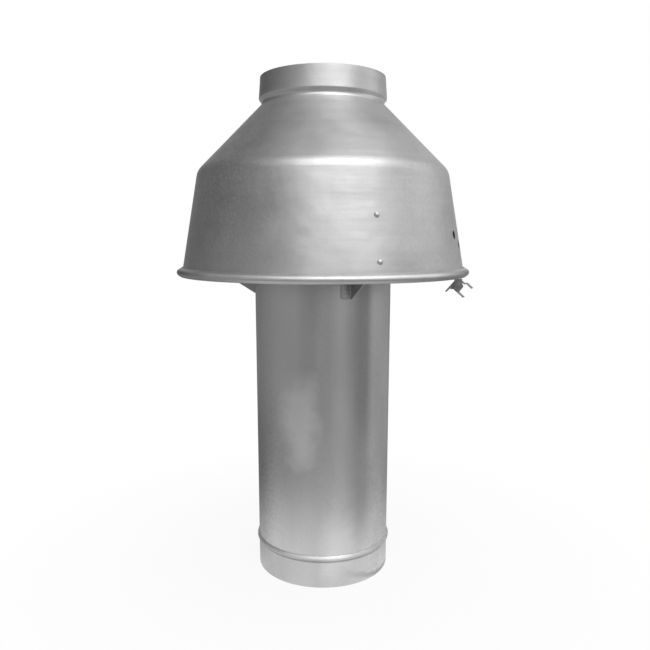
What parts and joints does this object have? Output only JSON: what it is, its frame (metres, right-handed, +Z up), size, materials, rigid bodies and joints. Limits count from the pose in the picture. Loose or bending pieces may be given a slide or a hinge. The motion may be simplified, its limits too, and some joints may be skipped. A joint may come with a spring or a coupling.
{
  "type": "flue cap",
  "caption": "Spun hood held over an open flue pipe by bent brackets, with a tapered spigot on top, a folded rim, a spring clip and a beaded pipe end.",
  "frame": {"origin": "centre of the pipe's lower end", "axes": "+Z up along the pipe towards the tapered spigot; the sensor holes and the clip are on the +X side, a little towards -Y, and the picture looks along +Y"},
  "size_m": [0.296, 0.296, 0.5042],
  "materials": {
    "spun_sheet": "satin spun aluminium with fine turning lines",
    "pipe_sheet": "smooth half-gloss rolled aluminium sheet",
    "bracket_sheet": "mill-finish aluminium sheet",
    "rivet": "bright cold-headed aluminium",
    "spring_steel": "dark oiled spring steel"
  },
  "bodies": {
    "root": {"hood": "spun_sheet", "flue_pipe": "pipe_sheet", "bracket_front": "bracket_sheet", "bracket_right": "bracket_sheet", "bracket_left": "bracket_sheet", "sensor_clip": "spring_steel", "hood_rivet_1": "rivet", "hood_rivet_2": "rivet", "hood_rivet_3": "rivet", "hood_rivet_4": "rivet", "hood_rivet_5": "rivet", "hood_rivet_6": "rivet", "pipe_rivet_1": "rivet", "pipe_rivet_2": "rivet", "pipe_rivet_3": "rivet", "pipe_rivet_4": "rivet", "pipe_rivet_5": "rivet", "pipe_rivet_6": "rivet"}
  },
  "joints": []
}
